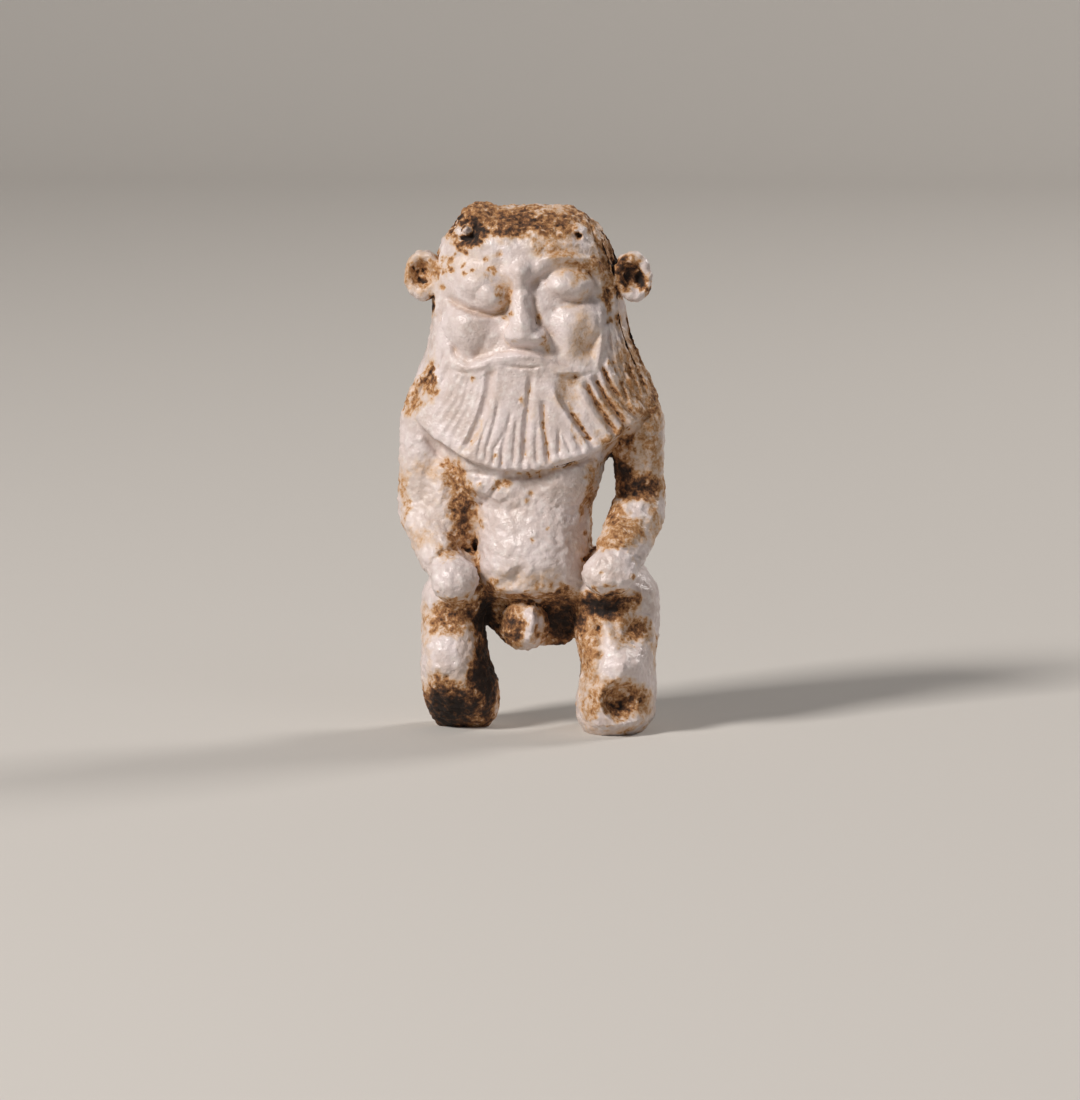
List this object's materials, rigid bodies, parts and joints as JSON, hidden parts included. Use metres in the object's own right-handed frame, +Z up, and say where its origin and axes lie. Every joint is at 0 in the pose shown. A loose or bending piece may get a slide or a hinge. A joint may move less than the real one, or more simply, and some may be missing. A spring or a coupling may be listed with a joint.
{
  "type": "bes amulet",
  "caption": "Small moulded amulet of glazed composition: a bearded dwarf god with lion's ears standing with fists on thighs.",
  "frame": {"origin": "on the ground under the middle of the bounding box", "axes": "+Z up from the soles to the broken crown, +X to the figure's left, the face looks along -Y"},
  "size_m": [0.0184, 0.0128, 0.036],
  "materials": {
    "faience": "worn cream glaze with brown soil in the hollows"
  },
  "bodies": {
    "root": {"amulet": "faience"}
  },
  "joints": []
}
